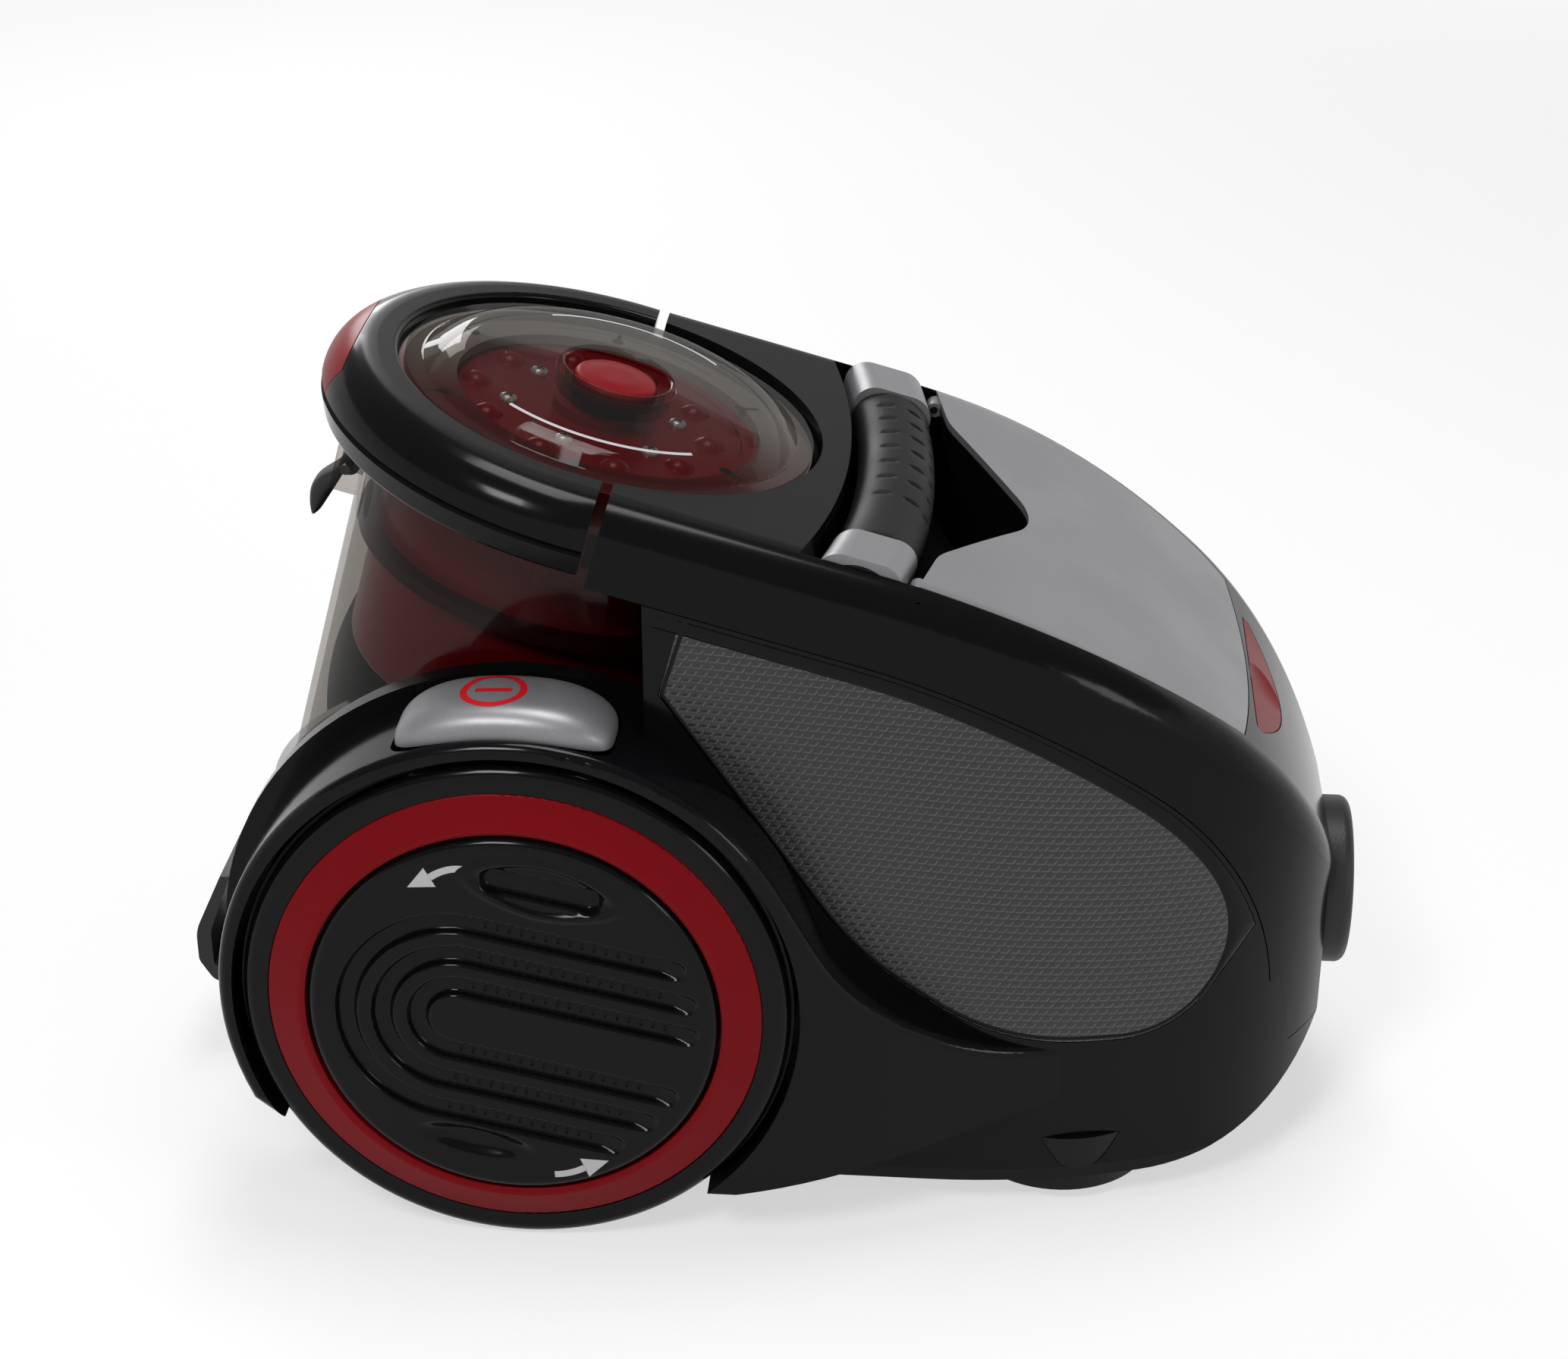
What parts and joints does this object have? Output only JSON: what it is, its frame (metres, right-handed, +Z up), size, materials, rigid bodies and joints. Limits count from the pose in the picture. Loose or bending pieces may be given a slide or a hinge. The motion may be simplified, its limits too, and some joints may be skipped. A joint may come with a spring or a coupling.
{
  "type": "canister vacuum cleaner",
  "caption": "Bagless multi-cyclone canister vacuum cleaner with a tilted clear dust cup, two large wheels, front casters, carry handle and hose inlet.",
  "frame": {"origin": "on the floor, under the middle of the machine's bounding box", "axes": "+X to the hose inlet at the front, +Y to the machine's left, +Z up"},
  "size_m": [0.46, 0.282, 0.3137],
  "materials": {
    "gloss_black": "high gloss moulded shell",
    "panel_grey": "clear gloss over a fine rhombic texture",
    "smoked_clear": "clear smoked plastic",
    "cyclone_red": "deep red translucent plastic",
    "accent_red": "satin red",
    "silver": "satin metallic paint",
    "soft_black": "soft-touch matte",
    "matte_black": "fine matte",
    "rubber": "matte rubber",
    "steel": "plain turned steel",
    "motor_steel": "zinc plated",
    "filter_cloth": "pleated filter cloth"
  },
  "bodies": {
    "chassis": {"lower_body": "gloss_black", "cup_cradle": "gloss_black", "base_plate": "matte_black", "upper_frame": "gloss_black", "hinge_pins": "steel", "filter_tray": "matte_black", "motor_filter": "filter_cloth", "carry_handle": "gloss_black", "handle_grip": "soft_black", "handle_cap_left": "silver", "handle_cap_right": "silver", "hose_inlet": "matte_black", "inlet_seal": "rubber", "inlet_duct": "matte_black", "parking_bracket": "matte_black", "cord_outlet": "rubber", "motor_mount": "rubber", "motor_can": "motor_steel", "fan_housing": "matte_black", "side_panel_left": "panel_grey", "side_panel_right": "panel_grey", "wheel_hub_left": "matte_black", "wheel_hub_right": "matte_black", "exhaust_filter_left": "filter_cloth", "exhaust_filter_right": "filter_cloth"},
    "cup": {"dust_cup": "smoked_clear", "latch_pin": "steel"},
    "head": {"head_ring": "gloss_black", "cyclone_cover": "cyclone_red", "cover_screws": "steel", "cyclone_pack": "cyclone_red", "cyclone_cones": "cyclone_red", "cup_gasket": "rubber"},
    "lid": {"dome_lid": "smoked_clear", "lid_knob": "accent_red"},
    "button": {"release_button": "accent_red"},
    "lever": {"bin_latch": "matte_black"},
    "cover": {"top_cover": "silver"},
    "latch": {"cover_latch": "accent_red"},
    "rotor": {"motor_shaft": "steel", "fan_impeller": "matte_black"},
    "reel": {"cord_reel": "matte_black"},
    "power_key": {"power_pedal": "silver"},
    "rewind_key": {"rewind_pedal": "silver"},
    "wheel_left": {"rear_wheel_left": "gloss_black", "wheel_tread_left": "rubber", "wheel_ring_left": "accent_red"},
    "vent_left": {"exhaust_cover_left": "gloss_black"},
    "caster_left": {"caster_fork_left": "matte_black", "caster_axle_left": "steel"},
    "roller_left": {"caster_wheel_left": "matte_black"},
    "wheel_right": {"rear_wheel_right": "gloss_black", "wheel_tread_right": "rubber", "wheel_ring_right": "accent_red"},
    "vent_right": {"exhaust_cover_right": "gloss_black"},
    "caster_right": {"caster_fork_right": "matte_black", "caster_axle_right": "steel"},
    "roller_right": {"caster_wheel_right": "matte_black"}
  },
  "joints": [
    {"name": "bin_lift", "type": "slide", "parent": "chassis", "child": "cup", "axis": [0.2672, 0, 0.9636], "range_m": [0, 0.2]},
    {"name": "head_lift", "type": "slide", "parent": "cup", "child": "head", "axis": [0.2672, 0, 0.9636], "range_m": [0, 0.12]},
    {"name": "lid_twist", "type": "hinge", "parent": "head", "child": "lid", "pos_m": [-0.0564, 0, 0.2893], "axis": [0.2672, 0, 0.9636], "range_deg": [0, 20]},
    {"name": "release_press", "type": "slide", "parent": "head", "child": "button", "axis": [-0.2672, 0, -0.9636], "range_m": [0, 0.003], "stiffness_N_per_m": 1000},
    {"name": "bin_latch_swing", "type": "hinge", "parent": "cup", "child": "lever", "pos_m": [-0.15739, 0, 0.25816], "axis": [0, 1, 0], "range_deg": [0, 30], "stiffness_Nm_per_rad": 0.05},
    {"name": "cover_hinge", "type": "hinge", "parent": "chassis", "child": "cover", "pos_m": [0.061, 0, 0.25154], "axis": [0, -1, 0], "range_deg": [0, 70]},
    {"name": "cover_latch_press", "type": "slide", "parent": "chassis", "child": "latch", "axis": [0, 0, -1], "range_m": [0, 0.003], "stiffness_N_per_m": 1000},
    {"name": "power_press", "type": "slide", "parent": "chassis", "child": "power_key", "axis": [0, 0, -1], "range_m": [0, 0.004], "stiffness_N_per_m": 2500},
    {"name": "rewind_press", "type": "slide", "parent": "chassis", "child": "rewind_key", "axis": [0, 0, -1], "range_m": [0, 0.004], "stiffness_N_per_m": 2500},
    {"name": "fan_spin", "type": "hinge", "parent": "chassis", "child": "rotor", "pos_m": [0.095, -0.028, 0.1], "axis": [0, 0, 1], "continuous": true},
    {"name": "reel_spin", "type": "hinge", "parent": "chassis", "child": "reel", "pos_m": [-0.118, 0, 0.035], "axis": [0, 0, 1], "continuous": true},
    {"name": "wheel_spin_left", "type": "hinge", "parent": "chassis", "child": "wheel_left", "pos_m": [-0.08, 0.1155, 0.101], "axis": [0, 1, 0], "continuous": true},
    {"name": "vent_twist_left", "type": "hinge", "parent": "chassis", "child": "vent_left", "pos_m": [-0.08, 0.13, 0.101], "axis": [0, -1, 0], "range_deg": [0, 25]},
    {"name": "caster_swivel_left", "type": "hinge", "parent": "chassis", "child": "caster_left", "pos_m": [0.119, 0.062, 0.03], "axis": [0, 0, 1], "continuous": true},
    {"name": "caster_roll_left", "type": "hinge", "parent": "caster_left", "child": "roller_left", "pos_m": [0.108, 0.062, 0.0135], "axis": [0, 1, 0], "continuous": true},
    {"name": "wheel_spin_right", "type": "hinge", "parent": "chassis", "child": "wheel_right", "pos_m": [-0.08, -0.1155, 0.101], "axis": [0, 1, 0], "continuous": true},
    {"name": "vent_twist_right", "type": "hinge", "parent": "chassis", "child": "vent_right", "pos_m": [-0.08, -0.13, 0.101], "axis": [0, -1, 0], "range_deg": [0, 25]},
    {"name": "caster_swivel_right", "type": "hinge", "parent": "chassis", "child": "caster_right", "pos_m": [0.119, -0.062, 0.03], "axis": [0, 0, 1], "continuous": true},
    {"name": "caster_roll_right", "type": "hinge", "parent": "caster_right", "child": "roller_right", "pos_m": [0.108, -0.062, 0.0135], "axis": [0, 1, 0], "continuous": true}
  ]
}
